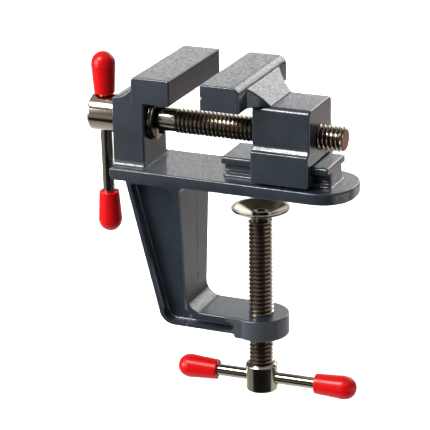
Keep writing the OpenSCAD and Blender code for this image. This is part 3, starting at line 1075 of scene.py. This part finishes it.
def retaining_clip():
    """Open ring with three lands on the screw, pressed from spring steel."""
    low, high = clip_low.x, clip_high.x
    rim = (clip_high.y - clip_low.y) / 2
    half_land, half_mouth = clip_land_r / 2, clip_mouth_w / 2
    low_in, high_in = low - overrun, high + overrun
    low_out, high_out = low - 2 * overrun, high + 2 * overrun
    ring = rod("Z", (0, 0, 0), 2 * rim, low, high, 96)
    hollows = combine("DIFFERENCE", rod("Z", (0, 0, 0), 2 * clip_hollow_r, low_in, high_in, 64),
                      block((-cut_reach, -cut_reach, low_out), (cut_reach, -half_land, high_out)),
                      block((-half_land, 0, low_out), (half_land, cut_reach, high_out)))
    ring = combine("DIFFERENCE", ring, rod("Z", (0, 0, 0), 2 * clip_land_r, low_in, high_in, 64), hollows,
                   block((-half_mouth, -cut_reach, low_in), (half_mouth, 0, high_in)))
    round_edges(ring, edge_r, 2, 50)
    axes = Matrix(((0, 0, 1, 0), (1, 0, 0, 0), (0, 1, 0, 0), (0, 0, 0, 1)))
    bmesh.ops.transform(ring, matrix=Matrix.Translation((0, 0, screw_axis_z)) @ axes, verts=ring.verts)
    piece(ring, "spring_clip", "retaining_clip", "main_screw", BLUED)


def clamp_screw():
    """Clamp screw: thread, neck, and the spigot spread over inside the cup."""
    neck_z = cup_low.z - cup_play
    thread_top_z = neck_z - clamp_neck_len
    spread_z = cup_low.z + cup_t + cup_play
    top_z = clamp_high.z
    top = lathe([
        (0, thread_top_z - thread_lap, 0),
        (clamp_neck_r, thread_top_z - thread_lap, 0),
        (clamp_neck_r, neck_z, edge_r),
        (spigot_r, neck_z, 0),
        (spigot_r, spread_z, 0),
        (spread_r, spread_z, spread_low_r),
        (spread_r, top_z - spread_h, spread_edge_r),
        (spigot_r, top_z, dish_edge_r),
        (dish_r, top_z - dish_h, edge_r),
        (0, top_z - dish_h, 0),
    ], 48)
    ridge = thread(clamp_low.z, thread_top_z, 0, clamp_end_chamfer)
    piece(join(top, ridge), "clamp_screw_threaded", "clamp_screw", "clamp_screw", THREAD_Z)


def clamp_screw_head():
    """Drum at the clamp screw's foot, with a chamfered top."""
    radius = (clamp_head_high.y - clamp_head_low.y) / 2
    low, high = clamp_head_low.z, clamp_head_high.z
    head = lathe([
        (0, low, 0),
        (radius, low, clamp_head_low_r),
        (radius, high - clamp_head_chamfer, clamp_head_edge_r),
        (radius - clamp_head_chamfer, high, clamp_head_edge_r),
        (0, high, 0),
    ], 96, 4)
    piece(cross_hole(head, clamp_handle), "clamp_screw_drum", "clamp_screw_head", "clamp_screw",
          NICKEL_Z)


def swivel_cup():
    """Cup pressed from sheet, flared to a flat rim."""
    low, rim, radius = cup_low.z, cup_high.z, (cup_high.x - cup_low.x) / 2
    cup = lathe([
        (cup_hole_r, low, edge_r),
        (cup_flat_r, low, cup_flat_bend),
        (radius - cup_lip_w, rim - cup_lip_h, cup_lip_bend),
        (radius, rim - cup_rim_h, cup_rim_low_r),
        (radius, rim, cup_rim_top_r),
        (radius - cup_rim_w, rim, cup_rim_bend),
        (cup_flat_in_r, low + cup_t, cup_flat_in_bend),
        (cup_hole_r, low + cup_t, edge_r),
    ], 96, 4)
    piece(cup, "pressed_swivel_cup", "swivel_cup", "cup", SHADED_NICKEL_Z)


# Handles

def handle_bar(place, shift):
    """Bar through a head, its middle shifted from the screw's axis; its ends reach into the caps."""
    half = bar_free / 2 + cap_len - cap_end_t
    radius = bar_d / 2
    bar = lathe([
        (0, shift - half, 0),
        (radius, shift - half, bar_end_r),
        (radius, shift + half, bar_end_r),
        (0, shift + half, 0),
    ], 48)
    bmesh.ops.transform(bar, matrix=place, verts=bar.verts)
    return bar


def cap(place, mouth, side, turn):
    """Dipped cap with its mouth at a distance along the bar; the mould's seam rings the foot of its dome."""
    inside = bar_d / 2 + cap_fit
    seam = cap_len - cap_d / 2
    dome = cap_d / 2 - cap_step
    shape = lathe([
        (inside, 0, cap_mouth_in_r),
        (cap_mouth_d / 2, 0, cap_mouth_r),
        (cap_d / 2, seam - edge_r, edge_r),
        (dome, seam, 0),
        (dome, cap_len, dome * dome_share),
        (0, cap_len, 0),
        (0, cap_len - cap_end_t, 0),
        (inside, cap_len - cap_end_t, 0),
    ], 64, 10)
    for vert in shape.verts:
        fade = max(0, 1 - vert.co.z / mouth_fade)
        angle = math.atan2(vert.co.y, vert.co.x) + turn
        vert.co.z += fade * mouth_wave * (1.5 + math.sin(3 * angle) + 0.5 * math.sin(7 * angle + 1))
    on_bar = place @ Matrix.Translation((0, 0, mouth)) @ Matrix.Diagonal((1, side, side, 1))
    bmesh.ops.transform(shape, matrix=on_bar, verts=shape.verts)
    return shape


def handle(screw, place, shift, material, ends):
    """A screw's handle bar and the caps on its ends, each given as (name, side, turn of its wavy mouth)."""
    body = screw + "_handle"
    piece(handle_bar(place, shift), screw + "_tommy_bar", body + "_bar", body, material)
    for end, side, turn in ends:
        mouth = shift + side * bar_free / 2
        piece(cap(place, mouth, side, turn), f"{screw}_cap_{end}", f"{body}_cap_{end}", body,
              VINYL)


def handles():
    """Both handles; the main one hangs by its upper cap."""
    main_shift = (head_high.z - head_low.z) / 2 + cap_rest_gap - bar_free / 2
    handle("main", main_handle, main_shift, NICKEL_Z, [("upper", 1, 0.4), ("lower", -1, 2.1)])
    handle("clamp", clamp_handle, clamp_handle_shift, NICKEL_X, [("left", -1, 1.2), ("right", 1, 0)])


frame_casting()
moving_jaw()
main_screw()
main_screw_head()
retaining_washer()
retaining_clip()
clamp_screw()
clamp_screw_head()
swivel_cup()
handles()

# Setting: pale floor, soft light and the camera at the photograph's viewing angle, all in metres.
view_yaw = math.radians(23.562)
view_pitch = math.radians(20.255)
view_roll = math.radians(-0.931)
view_target = Vector((-13.862, 0, -10.655)) * MM
view_distance = 573.068 * MM
view_focal_px = 2038.225
view_side_px = 430
sensor_w = 36
clip_near = 0.01
floor_drop = 0.15
floor_w = 12
flag_w = 1.5
flag_d = 0.9
flag_near = 0.12
flag_shift = 0.28
flag_lift = 0.002


def camera():
    """Camera fitted to the photograph."""
    back = Vector((math.sin(view_yaw) * math.cos(view_pitch), -math.cos(view_yaw) * math.cos(view_pitch),
                   math.sin(view_pitch)))
    level = Vector((math.cos(view_yaw), math.sin(view_yaw), 0))
    upright = back.cross(level)
    right = math.cos(view_roll) * level + math.sin(view_roll) * upright
    up = back.cross(right)
    data = bpy.data.cameras.new("camera")
    data.sensor_width = sensor_w
    data.lens = view_focal_px / view_side_px * sensor_w
    data.clip_start = clip_near
    made = bpy.data.objects.new("camera", data)
    made.matrix_world = Matrix.Translation(view_target + back * view_distance) @ Matrix(
        (right, up, back)).transposed().to_4x4()
    bpy.context.scene.collection.objects.link(made)
    bpy.context.scene.camera = made


def board(name, material, width, depth, lift=0, across=0, back=0):
    """Flat board at the floor's height."""
    bm = bmesh.new()
    bmesh.ops.create_grid(bm, x_segments=1, y_segments=1, size=1 / 2)
    bmesh.ops.scale(bm, vec=(width, depth, 1), verts=bm.verts)
    bmesh.ops.translate(bm, vec=(across, back, cad_box[0].z - floor_drop + lift), verts=bm.verts)
    made = bpy.data.objects.new(name, mesh_of(bm, name))
    bm.free()
    made.data.materials.append(material)
    bpy.context.scene.collection.objects.link(made)
    return made


def floor():
    """Matt white board under the part."""
    material = new_material("matt_white_board", Roughness=0.9, Base_Color=linear("#f4f4f2"))[0]
    board("floor", material, floor_w, floor_w)


def flag():
    """Black card on the floor under the camera: the dark that turned metal mirrors in its middle."""
    material = new_material("black_card", Roughness=1.0, Base_Color=linear("#0a0a0a"))[0]
    made = board("flag", material, flag_w, flag_d, flag_lift, flag_shift, -flag_near - flag_d / 2)
    made.data.transform(Matrix.Rotation(view_yaw, 4, "Z"))
    made.visible_camera = False
    made.visible_diffuse = False
    made.visible_shadow = False


def softbox(name, place, aim, size, power, spread=180, colour=(1, 1, 1)):
    """Soft light whose beam may be narrowed by a grid, its spread in degrees."""
    data = bpy.data.lights.new(name, "AREA")
    data.shape = "RECTANGLE"
    data.size, data.size_y = size
    data.energy = power
    data.spread = math.radians(spread)
    data.color = colour
    made = bpy.data.objects.new(name, data)
    made.location = place
    made.rotation_mode = "QUATERNION"
    made.rotation_quaternion = (Vector(aim) - Vector(place)).to_track_quat("-Z", "Y")
    made.visible_camera = False
    bpy.context.scene.collection.objects.link(made)


def lights():
    """Softboxes, named for where they stand or what they light, and a lamp.

    The lamp makes a warm patch on the floor, which the faces that look right mirror.
    """
    part = (0, 0, 0)
    jaws = (0, 0, 0.02)
    softbox("softbox_floor", (-0.14, 0.30, 0.50), (-0.28, 0.60, -0.2), (0.32, 0.7), power=2.9, spread=55)
    softbox("softbox_window", (-0.42, 0.94, 0.25), jaws, (0.75, 0.30), power=0.28, spread=100)
    softbox("softbox_back", (0.16, 0.93, 0.36), jaws, (0.80, 0.50), power=0.90, spread=80)
    softbox("softbox_front", (-0.22, -0.30, 0.42), (-0.02, 0, 0.015), (0.26, 0.14), power=0.37, spread=62)
    softbox("softbox_left", (-0.40, -0.32, 0.10), part, (0.30, 0.30), power=0.47, spread=60)
    softbox("softbox_right", (0.44, -0.03, -0.10), part, (0.50, 0.16), power=0.30)
    softbox("lamp_right", (0.27, 0.62, 0.10), (0.27, 0.62, -0.2), (0.1, 0.1), power=0.10, spread=90,
            colour=(1.0, 0.52, 0.42))


def studio_room():
    """Dim room seen in reflections: pale overhead, darker in front than behind."""
    world = bpy.data.worlds.new("studio")
    world.use_nodes = True
    tree = world.node_tree
    sides = parts_of(tree, add_node(tree, "TexCoord", output="Generated"))
    front = remap(tree, sides["Y"], 0.25, -0.35, kind="SMOOTHSTEP")
    height = remap(tree, sides["Z"], 0.45, 0.8, kind="SMOOTHSTEP")
    wall = mix(tree, front, (0.15, 0.15, 0.155, 1), (0.06, 0.062, 0.068, 1))
    feed(tree, tree.nodes["Background"], {"Color": mix(tree, height, wall, (0.48, 0.48, 0.49, 1))})
    bpy.context.scene.world = world


camera()
floor()
flag()
lights()
studio_room()
bpy.context.scene.view_settings.view_transform = "Standard"
